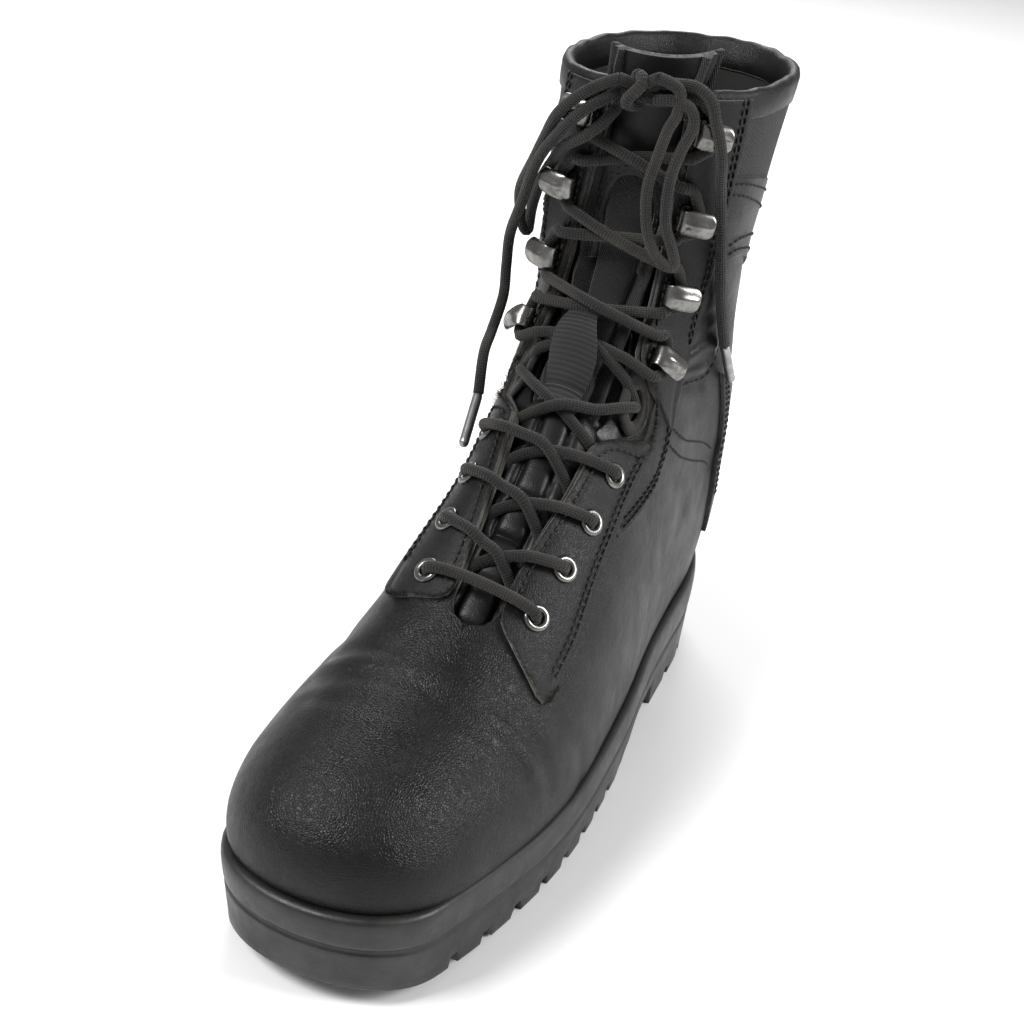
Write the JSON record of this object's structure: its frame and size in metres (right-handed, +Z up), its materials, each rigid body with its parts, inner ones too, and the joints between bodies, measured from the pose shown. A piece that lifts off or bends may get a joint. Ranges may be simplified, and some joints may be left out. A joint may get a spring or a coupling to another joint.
{
  "type": "jungle boot",
  "caption": "black leather and textile lace-up jungle boot for the left foot, with eyelets below, speed hooks above and a lugged rubber sole",
  "frame": {"origin": "on the floor, in the middle of the heel tread", "axes": "+Z up, toe along -Y, outer side along +X"},
  "size_m": [0.1092, 0.3138, 0.2725],
  "materials": {
    "black_leather": "satin",
    "sole_rubber": "satin",
    "insole_board": "matte",
    "webbing": "matte",
    "worn_steel": "worn",
    "lace": "matte",
    "lace_tip_metal": "satin"
  },
  "bodies": {
    "root": {"ankle_loop_inner": "black_leather", "ankle_loop_outer": "black_leather", "backstay": "black_leather", "eyelet_inner_1": "worn_steel", "eyelet_inner_2": "worn_steel", "eyelet_inner_3": "worn_steel", "eyelet_inner_4": "worn_steel", "eyelet_outer_1": "worn_steel", "eyelet_outer_2": "worn_steel", "eyelet_outer_3": "worn_steel", "eyelet_outer_4": "worn_steel", "hook_inner_1": "worn_steel", "hook_inner_2": "worn_steel", "hook_inner_3": "worn_steel", "hook_inner_4": "worn_steel", "hook_outer_1": "worn_steel", "hook_outer_2": "worn_steel", "hook_outer_3": "worn_steel", "hook_outer_4": "worn_steel", "insole": "insole_board", "lace_bar": "lace", "lace_crossing_1": "lace", "lace_crossing_2": "lace", "lace_crossing_3": "lace", "lace_crossing_4": "lace", "lace_crossing_5": "lace", "lace_crossing_6": "lace", "lace_crossing_7": "lace", "lace_crossing_8": "lace", "lace_end_inner": "lace", "lace_end_outer": "lace", "lace_knot": "lace", "lace_loop_inner": "lace", "lace_loop_outer": "lace", "lace_tip_inner": "lace_tip_metal", "lace_tip_outer": "lace_tip_metal", "lace_to_knot_inner": "lace", "lace_to_knot_outer": "lace", "lower_facing_inner": "black_leather", "lower_facing_outer": "black_leather", "outsole": "sole_rubber", "shaft_facing_inner": "black_leather", "shaft_facing_outer": "black_leather", "tongue": "black_leather", "tongue_keeper": "webbing", "upper": "black_leather"}
  },
  "joints": []
}
